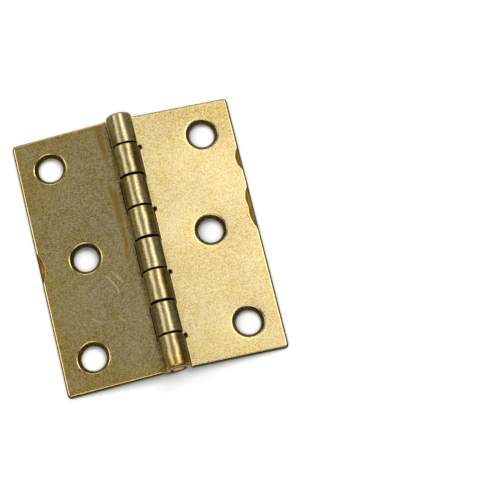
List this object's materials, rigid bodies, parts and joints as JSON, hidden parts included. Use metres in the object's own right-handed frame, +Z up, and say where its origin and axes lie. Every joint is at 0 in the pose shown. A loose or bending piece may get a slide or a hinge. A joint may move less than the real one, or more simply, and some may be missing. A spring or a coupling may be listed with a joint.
{
  "type": "surface mount butt hinge",
  "caption": "Antique brass butt hinge with countersunk sheet leaves and interleaved rolled knuckles turning on a pin, for doors and box lids.",
  "frame": {"origin": "on the table under the middle of the pin, with the hinge standing as a low tent on its two outer edges", "axes": "+Y along the pin, +X towards the door leaf, +Z up, out of the front where the screw heads sit"},
  "size_m": [0.0528, 0.0642, 0.0089],
  "materials": {
    "antique_brass": "tumbled antique brass, worn bright on raised edges",
    "pin_brass": "dull aged brass rod"
  },
  "bodies": {
    "frame_side": {"frame_leaf": "antique_brass", "hinge_pin": "pin_brass"},
    "door_side": {"door_leaf": "antique_brass"}
  },
  "joints": [
    {"name": "leaf_turn", "type": "hinge", "parent": "frame_side", "child": "door_side", "pos_m": [0, 0, 0.00583], "axis": [0, -1, 0], "range_deg": [-83, 199]}
  ]
}
